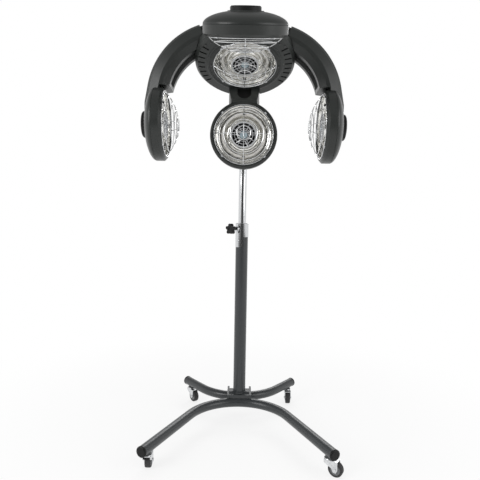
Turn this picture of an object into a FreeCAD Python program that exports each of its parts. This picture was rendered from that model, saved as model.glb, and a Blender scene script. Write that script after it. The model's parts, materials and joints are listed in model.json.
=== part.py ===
"""Hair color processor: five lamp-and-fan heads on a wheeled stand.

Frame in mm: origin on the floor under the column, +Z up, the client sits on the -Y side.
"""

import FreeCAD, Part
import math
import os

V = FreeCAD.Vector

# stand
LEG_OD = 32.0
LEG_WALL = 2.0
LEG_Z = 70.0
LEG_GAP = 28.7
LEG_BEND_R = 182.0
FRONT_SWEEP = 66.0
REAR_SWEEP = 51.0
FRONT_REACH = 274.0
REAR_REACH = 115.0
CAP_LENGTH = 9.0
STEM_INSET = 29.0

# casters
WHEEL_R = 22.0
WHEEL_W = 18.0
TRAIL = 22.0
AXLE_R = 3.0
STEM_R = 5.0
SWIVEL_Z = 50.5

# column
TUBE_OD = 44.5
TUBE_WALL = 2.0
TUBE_BOTTOM = 92.0
TUBE_TOP = 675.0
COLLAR_OD = 47.5
COLLAR_TOP = TUBE_TOP + 50.0
SKIRT_BOTTOM = TUBE_TOP - 37.0
POLE_OD = 28.0
POLE_WALL = 1.5
POLE_BOTTOM = 300.0
POLE_TOP = 1212.0
SCREW_Z = TUBE_TOP + 29.0
SCREW_R = 4.0
SCREW_TIP_R = 2.5
PAD_START = POLE_OD / 2 - 2.0
PAD_R = 6.1
PAD_T = 5.4
TIP_START = POLE_OD / 2 + 2.3
KNOB_AT = 49.0

# heads: radii from the head's axis, heights along the facing direction from the seam
HEAD_R = 110.0
SHELL_T = 3.0
DISH_R = 95.0
RIM_R = 103.0
RIM_H = 28.0
BAND_H = 21.5
DOME_H = 34.0
BACK_R = 47.0
BACK_H = 32.5
HEAD_CAP_R = 40.0
HEAD_CAP_H = 11.0
CAP_SNAP_R = HEAD_CAP_R - 6.0
LAMP_R = 69.0
LAMP_TUBE_R = 4.5
LAMP_Z = 8.5
REFLECTOR_T = 1.2
DUCT_R = 40.0
FAN_R = 36.0
FAN_HUB_R = 13.0
FAN_SHAFT_R = 2.0
FAN_BACK = -9.0
MOTOR_TOP = 4.0
GRILLE_Z = RIM_H - SHELL_T
GRILLE_T = 2.0
GUARD_R = 96.6
GUARD_H = 38.0
WIRE = 2.4

# centre head
DISH_CENTRE = V(0, -225, 1214)
HUB_LEAN = 23.2
HUB_R = 154.0
HUB_STEP_R = 118.0
HUB_STEP = 1.0
HUB_EDGE = 4.0
HUB_BEVEL = 8.0
HUB_SPLIT = 24.0
HUB_BACK = 70.0
HUB_BACK_R = 110.0
HUB_WALL = 3.0

# arms
ARM_Y = -228.0
ARM_CENTRE_X = 65.0
ARM_CENTRE_Z = 1103.0
ARM_IN_R = 165.0
ARM_OUT_R = 232.0
ARM_ROOT = 108.6
ARM_TIP = 170.0
ARM_RUN = 90.0
ARM_STEP = 15.0
SHOULDER_IN_R = 143.0
SHOULDER_SLIM = 3.0
ARM_FACE = 40.0
ARM_CREASE = 50.0
ARM_BACK = 36.0
RECESS_W = 46.0
RECESS_D = 9.0
HINGE_R = 224.0
HINGE_ANGLE = 110.2

# fits
RUN = 0.06
GAP = 0.3
ARM_GAP = 1.0
LUG_SINK = 4.0
LUG_HALF = 25.0
ARM_PIN_R = 3.0

# where the outer heads sit: seam centre and facing direction
BOTTOM_HEAD = V(0, -135, 1015)
SIDE_HEAD_X = 267.5
SIDE_HEAD_Y = -235.0
SIDE_HEAD_Z = 1028.0
TOP_HEAD = V(0, -464, 1239)
TOP_LEAN = 22.5

TILT_Y = -48.0
TILT_Z = 1195.0
TILT_PIN_R = 5.0


# --- drawing helpers -------------------------------------------------------

def polygon(points):
    """Closed face through 3-D points."""
    return Part.Face(Part.makePolygon(list(points) + [points[0]]))


def ring(profile):
    """Full revolve about Z of a closed (radius, height) profile."""
    face = polygon([V(r, 0, z) for r, z in profile])
    return face.revolve(V(0, 0, 0), V(0, 0, 1), 360)


def ring_of_edges(edges):
    return Part.Face(Part.Wire(edges)).revolve(V(0, 0, 0), V(0, 0, 1), 360)


def line(a, b):
    return Part.makeLine(V(a[0], 0, a[1]), V(b[0], 0, b[1]))


def parallel_line(points, offset):
    """The polyline moved sideways by offset, with mitred corners."""
    normals = []
    for (ax, ay), (bx, by) in zip(points, points[1:]):
        length = math.hypot(bx - ax, by - ay)
        normals.append(((ay - by) / length, (bx - ax) / length))
    moved = []
    for i, (x, y) in enumerate(points):
        before = normals[max(i - 1, 0)]
        after = normals[min(i, len(normals) - 1)]
        nx = before[0] + after[0]
        ny = before[1] + after[1]
        scale = 2.0 * offset / (nx * nx + ny * ny)
        moved.append((x + nx * scale, y + ny * scale))
    return moved


def cylinder(radius, start, end):
    axis = end - start
    return Part.makeCylinder(radius, axis.Length, start, axis)


def box(x0, x1, y0, y1, z0, z1):
    return Part.makeBox(x1 - x0, y1 - y0, z1 - z0, V(x0, y0, z0))


def join(first, *others):
    return first.fuse(list(others)).removeSplitter()


def place(shape, origin, facing, up):
    """Move a piece drawn round +Z so that +Z follows facing and +Y follows up."""
    side = up.cross(facing)
    turned = FreeCAD.Rotation(side, up, facing, "ZXY")
    moved = shape.copy()
    moved.Placement = FreeCAD.Placement(origin, turned).multiply(moved.Placement)
    return moved


def mirrored(shape):
    return shape.mirror(V(0, 0, 0), V(1, 0, 0))


def circular(piece, count, start=0.0):
    """Copies of a piece in equal steps round Z."""
    copies = []
    for i in range(count):
        turned = piece.copy()
        turned.rotate(V(0, 0, 0), V(0, 0, 1), start + 360.0 * i / count)
        copies.append(turned)
    return copies


def single(shape):
    """The solid itself where a boolean returned a compound of one."""
    solids = sorted(shape.Solids, key=lambda s: s.Volume)
    return solids[-1]


def save(name, shape):
    shape.exportStep("parts/%s.step" % name)


# --- one lamp-and-fan head, drawn facing +Z with its arm side on +Y --------

def dome_height(radius, wall=0.0):
    """How far the elliptical back stands behind the seam at a radius."""
    return (DOME_H - wall) * math.sqrt(1 - (radius / (HEAD_R - wall)) ** 2)


def head_profile(wall):
    """Revolved outline of a head: rim, band, elliptical back and the flat seat of the cap."""
    band_r = HEAD_R - wall
    lip_z = RIM_H - wall
    seat_r = BACK_R - wall / 2
    seat_z = -BACK_H + wall
    edge_z = -dome_height(seat_r, wall)
    ellipse = Part.Ellipse(V(band_r, 0, 0), V(0, 0, -DOME_H + wall), V(0, 0, 0))
    back = Part.ArcOfEllipse(ellipse, 0, math.acos(seat_r / band_r)).toShape()
    return ring_of_edges([
        line((0, lip_z), (RIM_R - wall, lip_z)),
        line((RIM_R - wall, lip_z), (band_r, BAND_H - wall / 2)),
        line((band_r, BAND_H - wall / 2), (band_r, 0)),
        back,
        line((seat_r, edge_z), (seat_r - 1, seat_z)),
        line((seat_r - 1, seat_z), (0, seat_z)),
        line((0, seat_z), (0, lip_z)),
    ])


def head_envelope():
    """Filled outside of an outer head, without its cap."""
    return head_profile(0.0)


def head_shell():
    seam = ring([(HEAD_R - 1, -1.2), (HEAD_R + 1, -1.2), (HEAD_R + 1, 0), (HEAD_R - 1, 0)])
    shell = head_envelope().cut([head_profile(SHELL_T), seam])
    shell = shell.cut(cylinder(DISH_R, V(0, 0, 0), V(0, 0, RIM_H + 1)))
    return shell.cut(cylinder(CAP_SNAP_R, V(0, 0, -BACK_H - 1), V(0, 0, 0)))


def head_cap():
    """Round cover over the air inlet: a rim that snaps into the shell and a slotted face."""
    face_z = -BACK_H - HEAD_CAP_H
    body = ring([
        (0, face_z), (HEAD_CAP_R - 3, face_z), (HEAD_CAP_R, face_z + 3), (HEAD_CAP_R, -BACK_H),
        (CAP_SNAP_R - GAP / 3, -BACK_H), (CAP_SNAP_R - GAP / 3, -BACK_H + SHELL_T + 2),
        (CAP_SNAP_R - 2, -BACK_H + SHELL_T + 2), (CAP_SNAP_R - 2, face_z + 3), (0, face_z + 3),
    ])
    slot = box(12, 28, -1.6, 1.6, face_z - 1, face_z + 4)
    return body.cut(circular(slot, 12))


def reflector():
    """Ring-shaped trough pressed in steps from thin sheet."""
    top = GRILLE_Z
    high = 0.66 * top
    low = 0.34 * top
    face = [
        (DISH_R + 3.5, top), (DISH_R - 1.5, top), (DISH_R - 3, high), (DISH_R - 8, high - 1),
        (DISH_R - 10, low), (DISH_R - 15, low - 1), (LAMP_R + 8.5, 0), (LAMP_R - 8.5, 0),
        (LAMP_R - 11.5, 2), (DUCT_R + 14.5, low), (DUCT_R + 11, low + 1), (DUCT_R + 8.5, high),
        (DUCT_R + 5.5, high + 1), (DUCT_R + 4, top), (DUCT_R, top),
    ]
    return ring(face + parallel_line(face, REFLECTOR_T)[::-1])


def lamp():
    """Ring lamp on two ceramic holders with their terminal posts."""
    tube = Part.makeTorus(LAMP_R, LAMP_TUBE_R, V(0, 0, LAMP_Z), V(0, 0, 1))
    holders = []
    for side in (-1, 1):
        y = side * LAMP_R
        holders.append(box(-7, 7, y - 6, y + 6, 0, LAMP_Z + 2))
        holders.append(cylinder(2.6, V(0, y, LAMP_Z + 1), V(0, y, GRILLE_Z - 3)))
    return join(tube, *holders)


def fan_frame():
    """Duct with the front grille, the three rear struts, the motor and its shaft."""
    face = GRILLE_Z
    front = face + GRILLE_T
    wall_r = DUCT_R - 2
    duct = ring([
        (wall_r, FAN_BACK), (DUCT_R, FAN_BACK), (DUCT_R, face), (DUCT_R + 2.5, face),
        (DUCT_R + 2.5, front), (wall_r, front),
    ])
    rings = []
    for radius in (29.0, 20.0, FAN_HUB_R + 1.6):
        rings.append(ring([(radius, face), (radius + 1.6, face), (radius + 1.6, front), (radius, front)]))
    ribs = circular(box(FAN_HUB_R + 2, wall_r + 0.5, -0.8, 0.8, face, front), 12)
    struts = circular(box(8, wall_r + 0.5, -2, 2, FAN_BACK, FAN_BACK + 4), 3, 90)
    motor = cylinder(FAN_HUB_R - 1, V(0, 0, FAN_BACK), V(0, 0, MOTOR_TOP))
    shaft = cylinder(FAN_SHAFT_R, V(0, 0, MOTOR_TOP - 1), V(0, 0, face - 6))
    return join(duct, motor, shaft, *(rings + ribs + struts))


def fan_impeller():
    bore = FAN_SHAFT_R + RUN
    back = MOTOR_TOP + 1
    nose = GRILLE_Z + 0.5
    hub = ring([
        (bore, back), (FAN_HUB_R, back), (FAN_HUB_R, nose - 1.5), (FAN_HUB_R - 1.5, nose),
        (0, nose), (0, nose - 5.5), (bore, nose - 5.5),
    ])
    return join(hub, *circular(fan_blade(), 7))


def fan_blade():
    """Twisted blade, steeper at the hub than at the tip."""
    middle = (MOTOR_TOP + GRILLE_Z) / 2
    half_t = 0.75
    sections = []
    for radius, half, rise in ((FAN_HUB_R - 1, 5.0, 6.5), (FAN_R, 8.5, 4.5)):
        corners = [
            V(radius, -half, middle - half_t - rise), V(radius, half, middle - half_t + rise),
            V(radius, half, middle + half_t + rise), V(radius, -half, middle + half_t - rise),
        ]
        sections.append(Part.makePolygon(corners + [corners[0]]))
    return Part.makeLoft(sections, True, True)


def guard():
    """Domed wire guard: base ring with four screwed tabs, four rings, two crossing wires."""
    base_r = GUARD_R
    sphere_r = (base_r ** 2 + GUARD_H ** 2) / (2 * GUARD_H)
    centre_z = RIM_H + GUARD_H - sphere_r
    half = WIRE / 2
    wires = [ring([
        (base_r - half, RIM_H), (base_r + half, RIM_H),
        (base_r + half, RIM_H + WIRE), (base_r - half, RIM_H + WIRE),
    ])]
    for degrees in (9, 18, 27, 36):
        r = sphere_r * math.sin(math.radians(degrees))
        z = centre_z + sphere_r * math.cos(math.radians(degrees))
        wires.append(ring([(r - half, z), (r, z - half), (r + half, z), (r, z + half)]))
    reach = math.degrees(math.asin((base_r - half) / sphere_r))
    top = centre_z + sphere_r
    section = polygon([V(-half, 0, top), V(0, 0, top - half), V(half, 0, top), V(0, 0, top + half)])
    section.rotate(V(0, 0, centre_z), V(1, 0, 0), -reach)
    bow = section.revolve(V(0, 0, centre_z), V(1, 0, 0), 2 * reach)
    wires.append(bow)
    crossing = bow.copy()
    crossing.rotate(V(0, 0, 0), V(0, 0, 1), 90)
    wires.append(crossing)
    tab = box(base_r - 0.6, RIM_R - 0.5, -4, 4, RIM_H, RIM_H + 1.2)
    screw = cylinder(2.4, V(base_r + 3.2, 0, RIM_H + 1), V(base_r + 3.2, 0, RIM_H + 3))
    wires += circular(tab, 4, 45) + circular(screw, 4, 45)
    return join(wires[0], *wires[1:])


# --- centre head, drawn in hub axes: +Z towards the back, +Y towards the pole

def hub_axes():
    lean = math.radians(HUB_LEAN)
    back = V(0, math.sin(lean), math.cos(lean))
    rear = V(0, math.cos(lean), -math.sin(lean))
    return back, rear


def in_hub(shape):
    back, rear = hub_axes()
    return place(shape, DISH_CENTRE, back, rear)


def hub_envelope(grow=0.0):
    """Filled outside of both hub housings."""
    g = grow
    return ring([
        (0, -g), (HUB_STEP_R - 2 + g, -g), (HUB_STEP_R, HUB_STEP - g), (HUB_R - HUB_BEVEL, HUB_EDGE - g),
        (HUB_R + g, HUB_EDGE + HUB_BEVEL), (HUB_R + g, 36), (HUB_R - 6 + g, 49 + g), (HUB_R - 20 + g, 62 + g),
        (HUB_BACK_R + g, HUB_BACK + g), (0, HUB_BACK + g),
    ])


def hub_cavity():
    t = HUB_WALL
    return ring([
        (0, -1), (DISH_R, -1), (DISH_R, t), (HUB_STEP_R - 2, t), (HUB_STEP_R, HUB_STEP + t),
        (HUB_R - HUB_BEVEL - t / 2, HUB_EDGE + t), (HUB_R - t, HUB_EDGE + HUB_BEVEL + t / 2),
        (HUB_R - t, 35), (HUB_R - 8, 47), (HUB_R - 21, 59),
        (HUB_BACK_R - 1, HUB_BACK - t), (0, HUB_BACK - t),
    ])


def front_part():
    """Everything on the client side of the split between the housings."""
    return cylinder(HUB_R + 40, V(0, 0, -40), V(0, 0, HUB_SPLIT))


def front_housing():
    shell = hub_envelope().cut(hub_cavity()).common(front_part())
    shell = shell.cut(ring([(108, -1), (110, -1), (110, 1.2), (108, 1.2)]))
    vents = []
    for side in (0, 180):
        for i in range(8):
            slot = box(HUB_STEP_R + 6, HUB_R - 9, -2.4, 2.4, -5, 20)
            slot.rotate(V(0, 0, 0), V(0, 0, 1), side + (i - 3.5) * 8.6)
            vents.append(slot)
    return in_hub(single(shell.cut(vents)))


def arm_section(inner, outer, width_cut=0.0):
    """Half-hexagon section of an arm in the plane X=0 of its bend, at height inner..outer."""
    face = ARM_FACE - width_cut
    crease = ARM_CREASE - width_cut
    back = ARM_BACK - width_cut
    crease_r = ARM_IN_R + 25.0
    points = [
        V(0, -face, inner), V(0, -crease, crease_r - 6), V(0, -crease, crease_r + 6),
        V(0, -back - 4, outer - 9), V(0, -back + 6, outer),
        V(0, back - 6, outer), V(0, back + 4, outer - 9),
        V(0, crease, crease_r + 6), V(0, crease, crease_r - 6), V(0, face, inner),
    ]
    return polygon(points)


def bend(face, start, end):
    """Sweep a section drawn straight above the bend centre between two polar angles."""
    first = face.copy()
    first.rotate(V(0, 0, 0), V(0, 1, 0), 90 - start)
    swept = first.revolve(V(0, 0, 0), V(0, 1, 0), start - end)
    swept.translate(V(-ARM_CENTRE_X, ARM_Y, ARM_CENTRE_Z))
    return swept


def hinge_point():
    a = math.radians(HINGE_ANGLE)
    return V(-ARM_CENTRE_X + HINGE_R * math.cos(a), ARM_Y, ARM_CENTRE_Z + HINGE_R * math.sin(a))


def side_shoulder():
    """Stub of the arm's bend on the hub, with the knuckle that carries the arm."""
    stub = bend(arm_section(SHOULDER_IN_R, ARM_OUT_R - ARM_STEP, SHOULDER_SLIM), 72, ARM_ROOT - 0.3)
    lug_r = ARM_OUT_R - ARM_STEP - LUG_SINK
    lug_face = polygon([
        V(0, -LUG_HALF, lug_r), V(0, LUG_HALF, lug_r),
        V(0, LUG_HALF, ARM_OUT_R - 3), V(0, -LUG_HALF, ARM_OUT_R - 3),
    ])
    lug = bend(lug_face, 104, HINGE_ANGLE)
    p = hinge_point()
    barrel = cylinder(6, p - V(0, LUG_HALF, 0), p + V(0, LUG_HALF, 0))
    bore = cylinder(ARM_PIN_R + RUN, p - V(0, 60, 0), p + V(0, 60, 0))
    return join(stub, lug, barrel).cut(bore)


def top_axes():
    """Facing and rearward directions of the top head."""
    lean = math.radians(TOP_LEAN)
    facing = V(0, math.sin(lean), -math.cos(lean))
    rear = V(0, math.cos(lean), math.sin(lean))
    return facing, rear


def top_point(along, behind):
    facing, rear = top_axes()
    return TOP_HEAD + rear * along - facing * behind


def top_profile(points, half_width):
    """Prism across X of a profile in (rearward, behind the seam) coordinates of the top head."""
    corners = [top_point(a, b) + V(-half_width, 0, 0) for a, b in points]
    return polygon(corners).extrude(V(2 * half_width, 0, 0))


TOP_HINGE = (163.0, 31.5)


def top_shoulder():
    lug = top_profile([(152, 5), (182, 0), (169, 32), (163, 37.5), (157, 32)], 20)
    p = top_point(*TOP_HINGE)
    bore = cylinder(ARM_PIN_R + RUN, p - V(60, 0, 0), p + V(60, 0, 0))
    barrel = cylinder(6, p - V(20, 0, 0), p + V(20, 0, 0))
    return join(lug, barrel).cut(bore)


DIAL_AT = V(-46, 66, HUB_BACK)
DIAL_SPINDLE_R = 3.0
ROCKER_AT = V(0, 62, HUB_BACK)
ROCKER_W = 20.4
ROCKER_D = 13.6
ROCKER_FLANK = 1.2
INLET_AT = V(46, 66, HUB_BACK)


def rear_housing():
    outside = in_hub(hub_envelope())
    left = side_shoulder()
    tilt_lug = join(
        box(-20, 20, -112, TILT_Y, TILT_Z - 12, TILT_Z + 12),
        cylinder(12, V(-20, TILT_Y, TILT_Z), V(20, TILT_Y, TILT_Z)),
    )
    body = join(outside, left, mirrored(left), top_shoulder(), tilt_lug)
    body = body.cut(in_hub(hub_cavity())).cut(in_hub(front_part()))
    body = body.cut(cylinder(TILT_PIN_R + RUN, V(-30, TILT_Y, TILT_Z), V(30, TILT_Y, TILT_Z)))
    below = HUB_BACK - 9
    above = HUB_BACK + 1
    rocker_x = ROCKER_W / 2 + 0.6
    rocker_y = ROCKER_D / 2 + 0.5
    openings = [
        cylinder(DIAL_SPINDLE_R + RUN, DIAL_AT + V(0, 0, -9), DIAL_AT + V(0, 0, 1)),
        box(-rocker_x, rocker_x, ROCKER_AT.y - rocker_y, ROCKER_AT.y + rocker_y, below, above),
        box(INLET_AT.x - 13.8, INLET_AT.x + 13.8, INLET_AT.y - 10, INLET_AT.y + 10, below, above),
    ]
    return single(body.cut([in_hub(o) for o in openings]))


def timer_dial():
    """Knob with a ribbed skirt, a pointer bar and its spindle."""
    base = DIAL_AT.z + GAP
    knob = ring([
        (0, base), (18, base), (18, base + 3), (14, base + 5), (12.5, base + 16), (0, base + 16),
    ])
    ribs = circular(cylinder(1.3, V(13.6, 0, base + 4), V(12.4, 0, base + 15)), 12)
    pointer = box(-1.2, 1.2, 0, 15, base + 14, base + 17)
    spindle = cylinder(DIAL_SPINDLE_R, V(0, 0, base - 12), V(0, 0, base + 1))
    dial = join(knob, pointer, spindle, *ribs)
    dial.translate(V(DIAL_AT.x, DIAL_AT.y, 0))
    return in_hub(dial)


def power_rocker():
    """Rocker switch: a cranked button in the housing's cut-out, its raised flank drawn in to swing clear."""
    z = HUB_BACK
    half = ROCKER_W / 2
    button = polygon([
        V(-half, 0, z - 3), V(half, 0, z - 3),
        V(half - ROCKER_FLANK, 0, z + 4), V(0, 0, z + 1), V(-half, 0, z + 1.2),
    ]).extrude(V(0, ROCKER_D, 0))
    pivot = cylinder(2.0, V(0, 0, z - 4), V(0, ROCKER_D, z - 4))
    rocker = join(button, pivot)
    rocker.translate(V(ROCKER_AT.x, ROCKER_AT.y - ROCKER_D / 2, 0))
    return in_hub(rocker)


def mains_inlet():
    """Appliance inlet with three flat pins in its socket."""
    z = HUB_BACK
    flange = box(-16, 16, -12.5, 12.5, z, z + 2)
    body = box(-13.5, 13.5, -9.7, 9.7, z - 18, z + 1)
    socket = box(-12, 12, -8.3, 8.3, z - 14, z + 3)
    pins = []
    for x, y in ((-7, -2), (7, -2), (0, 2.5)):
        pins.append(box(x - 1, x + 1, y - 2, y + 2, z - 15, z - 2))
    inlet = join(join(flange, body).cut(socket), *pins)
    inlet.translate(V(INLET_AT.x, INLET_AT.y, 0))
    return in_hub(inlet)


def slope_screw(x, y):
    """Pan-head screw square to the sloping face of the front housing."""
    rise = (HUB_EDGE - HUB_STEP) / (HUB_R - HUB_BEVEL - HUB_STEP_R)
    r = math.hypot(x, y)
    start = V(x, y, HUB_STEP + rise * (r - HUB_STEP_R))
    square = V(rise * x / r, rise * y / r, -1).normalize()
    return cylinder(2.8, start, start + square * 2)


def hub_screws():
    """Pan-head screws of the centre head, in one node."""
    screws = []
    for x, y in ((-116, -80), (-100, -90), (-140, 12)):
        left = slope_screw(x, y)
        screws += [left, mirrored(left)]
    for x, y in ((-104, 0), (104, 0), (0, -104), (0, 104)):
        screws.append(cylinder(2.8, V(x, y, 0), V(x, y, -2)))
    return Part.makeCompound([in_hub(s) for s in screws])


# --- arms ------------------------------------------------------------------

def left_head_frame():
    return V(-SIDE_HEAD_X, SIDE_HEAD_Y, SIDE_HEAD_Z), V(1, 0, 0), V(0, 0, 1)


def straight_run(face):
    """The part of a side arm that leaves its bend at ARM_TIP and runs on to the head."""
    start = face.copy()
    start.rotate(V(0, 0, 0), V(0, 1, 0), 90 - ARM_TIP)
    start.translate(V(-ARM_CENTRE_X, ARM_Y, ARM_CENTRE_Z))
    a = math.radians(ARM_TIP)
    return start.extrude(V(-math.sin(a), 0, math.cos(a)) * ARM_RUN)


def left_arm():
    section = arm_section(ARM_IN_R, ARM_OUT_R)
    arm = join(bend(section, ARM_ROOT, ARM_TIP), straight_run(section))
    recess_face = polygon([
        V(0, -RECESS_W / 2, ARM_IN_R - 1), V(0, RECESS_W / 2, ARM_IN_R - 1),
        V(0, RECESS_W / 2 - 4, ARM_IN_R + RECESS_D), V(0, -RECESS_W / 2 + 4, ARM_IN_R + RECESS_D),
    ])
    recess = bend(recess_face, ARM_ROOT + 5, ARM_TIP - 6)
    slot_r = ARM_OUT_R - ARM_STEP - LUG_SINK - ARM_GAP
    slot_half = LUG_HALF + 0.4
    slot_face = polygon([
        V(0, -slot_half, slot_r), V(0, slot_half, slot_r),
        V(0, slot_half, ARM_OUT_R + 5), V(0, -slot_half, ARM_OUT_R + 5),
    ])
    slot = bend(slot_face, ARM_ROOT - 2, HINGE_ANGLE + 2.4)
    p = hinge_point()
    pin = cylinder(ARM_PIN_R, p - V(0, LUG_HALF + 2, 0), p + V(0, LUG_HALF + 2, 0))
    arm = arm.cut([recess, slot, in_hub(hub_envelope(ARM_GAP))])
    tip_cut = tongue_cut()
    front_x = BAND_H / 2 - SIDE_HEAD_X
    over_z = SIDE_HEAD_Z + HEAD_R + 1
    guard_space = box(front_x, front_x + 100, ARM_Y - 80, ARM_Y + 80, SIDE_HEAD_Z - 60, over_z)
    arm = arm.cut([place(head_envelope(), *left_head_frame()), guard_space, tip_cut])
    cap_space = cylinder(HEAD_CAP_R + 1, V(0, 0, -BACK_H - 30), V(0, 0, -BACK_H))
    arm = arm.cut(place(cap_space, *left_head_frame()))
    return join(single(arm), pin)


def tongue_cut():
    """Tapers the arm's end over the head's back towards its cap."""
    x = -SIDE_HEAD_X
    end_z = SIDE_HEAD_Z + HEAD_CAP_R + 2
    top = V(x - BACK_H - 3, 0, SIDE_HEAD_Z + 74)
    tip = V(x - BACK_H - 1.5, 0, end_z)
    points = [top, tip, V(x - 130, 0, end_z), V(x - 130, 0, top.z + 30)]
    wedge = polygon([p + V(0, ARM_Y - 80, 0) for p in points]).extrude(V(0, 160, 0))
    below = box(x - 100, x + 100, ARM_Y - 80, ARM_Y + 80, SIDE_HEAD_Z - 60, end_z)
    return wedge.fuse(below)


def top_arm():
    profile = [
        (HEAD_CAP_R + 4, BACK_H + 1), (84, 38), (157, 38), (168, 36), (169, 27), (163, 25.8),
        (146, 26.5), (130, 21.5), (112, 6), (100, 0), (60, 10),
    ]
    arm = top_profile(profile, ARM_FACE + 2)
    for side in (-1, 1):
        edge = top_profile([(40, 30), (180, 30), (180, 50), (40, 50)], 20)
        edge.translate(V(side * (ARM_FACE + 2 + 14), 0, 0))
        edge.rotate(top_point(100, 38) + V(side * (ARM_FACE - 4), 0, 0), top_axes()[1], side * 35)
        arm = arm.cut(edge)
    slot = top_profile([(150, 10), (190, 10), (190, 60), (150, 60)], 20.4)
    pin_at = top_point(*TOP_HINGE)
    pin = cylinder(ARM_PIN_R, pin_at - V(22, 0, 0), pin_at + V(22, 0, 0))
    facing, rear = top_axes()
    head = place(head_envelope(), TOP_HEAD, facing, rear)
    cap_space = cylinder(HEAD_CAP_R + 1, V(0, 0, -BACK_H - 30), V(0, 0, -BACK_H))
    cap_space = place(cap_space, TOP_HEAD, facing, rear)
    arm = arm.cut([slot, head, cap_space, in_hub(hub_envelope(ARM_GAP))])
    return join(single(arm), pin)


def bottom_shell():
    """Shell of the bottom head, moulded in one with the arm that holds it."""
    half = ARM_CREASE
    side_profile = [
        (-80, 1185), (-84, 1120), (-88, 1092), (-100, 1062), (-110, 1062),
        (-140, 1100), (-162, 1118), (-162, 1127), (-148, 1146), (-131, 1172), (-128, 1190),
    ]
    prism = polygon([V(-half, y, z) for y, z in side_profile]).extrude(V(2 * half, 0, 0))
    plan = [
        (-ARM_FACE, -168), (ARM_FACE, -168), (ARM_CREASE, -136), (ARM_CREASE, -122),
        (ARM_BACK + 4, -92), (ARM_BACK - 6, -78), (-ARM_BACK + 6, -78), (-ARM_BACK - 4, -92),
        (-ARM_CREASE, -122), (-ARM_CREASE, -136),
    ]
    outline = polygon([V(x, y, 1040) for x, y in plan]).extrude(V(0, 0, 170))
    arm = prism.common(outline)
    deep = RECESS_D
    groove = [(-175, 1133), (-149 + deep, 1133), (-131 + deep, 1172), (-128 + deep, 1195), (-175, 1195)]
    recess = polygon([V(-RECESS_W / 2, y, z) for y, z in groove]).extrude(V(RECESS_W, 0, 0))
    rounded = join(
        cylinder(RECESS_W / 2, V(0, -200, 1133 + RECESS_W / 2), V(0, -60, 1133 + RECESS_W / 2)),
        box(-RECESS_W / 2, RECESS_W / 2, -200, -60, 1133 + RECESS_W / 2, 1220),
    )
    arm = arm.cut(recess.common(rounded))
    frame = (BOTTOM_HEAD, V(0, -1, 0), V(0, 0, 1))
    cap_space = cylinder(HEAD_CAP_R + 1, V(0, 0, -BACK_H - 30), V(0, 0, -BACK_H))
    arm = arm.cut([place(head_envelope(), *frame), place(cap_space, *frame), in_hub(hub_envelope())])
    return join(place(head_shell(), *frame), single(arm))


# --- column ----------------------------------------------------------------

def tube(outer, wall, bottom, top):
    return ring([(outer / 2 - wall, bottom), (outer / 2, bottom), (outer / 2, top), (outer / 2 - wall, top)])


SCREW_DIRECTION = V(-math.sqrt(0.5), -math.sqrt(0.5), 0)


def along_screw(distance):
    return SCREW_DIRECTION * distance + V(0, 0, SCREW_Z)


def clamp_collar():
    """Sleeve on the column's top, with a half skirt, a slit and the screw's boss."""
    bore = POLE_OD / 2 + RUN
    spigot_r = TUBE_OD / 2 - TUBE_WALL - 0.1
    sleeve = ring([
        (bore, TUBE_TOP - 12), (spigot_r, TUBE_TOP - 12), (spigot_r, TUBE_TOP), (COLLAR_OD / 2, TUBE_TOP),
        (COLLAR_OD / 2, COLLAR_TOP - 1.5), (COLLAR_OD / 2 - 1.5, COLLAR_TOP), (bore, COLLAR_TOP),
    ])
    skirt = tube(COLLAR_OD, (COLLAR_OD - TUBE_OD) / 2, SKIRT_BOTTOM, TUBE_TOP)
    skirt = skirt.common(box(-40, 4, -40, 40, SKIRT_BOTTOM - 5, TUBE_TOP + 5))
    boss = cylinder(9, along_screw(17), along_screw(31))
    rivets = []
    for x, z in ((-12.5, SKIRT_BOTTOM + 22), (-3.0, SKIRT_BOTTOM + 12)):
        y = -math.sqrt((COLLAR_OD / 2) ** 2 - x * x)
        start = V(x, y, z)
        outward = V(x, y, 0).normalize()
        rivets.append(cylinder(2.6, start - outward, start + outward * 1.4))
    collar = join(sleeve, skirt, boss, *rivets)
    collar = collar.cut(cylinder(bore, V(0, 0, TUBE_TOP - 20), V(0, 0, COLLAR_TOP + 5)))
    slit = box(-2.5, 2.5, -40, -bore + 3, TUBE_TOP + 3, COLLAR_TOP - 5)
    screw_hole = cylinder(SCREW_R + RUN, along_screw(8), along_screw(40))
    pad_pocket = cylinder(PAD_R + GAP, along_screw(8), along_screw(PAD_START + PAD_T + 2.6))
    return single(collar.cut([slit, screw_hole, pad_pocket]))


def pressure_pad():
    """Disc that bears on the pole; the screw's tip turns in it."""
    pad = cylinder(PAD_R, along_screw(PAD_START), along_screw(PAD_START + PAD_T))
    pad = pad.cut(cylinder(POLE_OD / 2 + RUN, V(0, 0, SCREW_Z - 20), V(0, 0, SCREW_Z + 20)))
    return single(pad.cut(cylinder(SCREW_TIP_R + RUN, along_screw(PAD_START + 3), along_screw(KNOB_AT))))


def clamp_knob():
    """Five-lobed star knob with its screw."""
    lobes = [cylinder(13.0, V(0, 0, 0), V(0, 0, 15))]
    for lobe in circular(cylinder(6.2, V(13.2, 0, 0), V(13.2, 0, 15)), 5, 90):
        lobes.append(lobe)
    neck = Part.makeCone(7.5, 10.0, 6, V(0, 0, -6), V(0, 0, 1))
    tip_z = TIP_START - KNOB_AT
    shoulder_z = PAD_START + PAD_T + GAP - KNOB_AT
    screw = cylinder(SCREW_R, V(0, 0, shoulder_z), V(0, 0, 1))
    tip = cylinder(SCREW_TIP_R, V(0, 0, tip_z), V(0, 0, shoulder_z + 1))
    knob = join(lobes[0], *(lobes[1:] + [neck, screw, tip]))
    hollow = cylinder(5.0, V(0, 0, 13.5), V(0, 0, 16))
    return place(knob.cut(hollow), along_screw(KNOB_AT), SCREW_DIRECTION, V(0, 0, 1))


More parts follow.
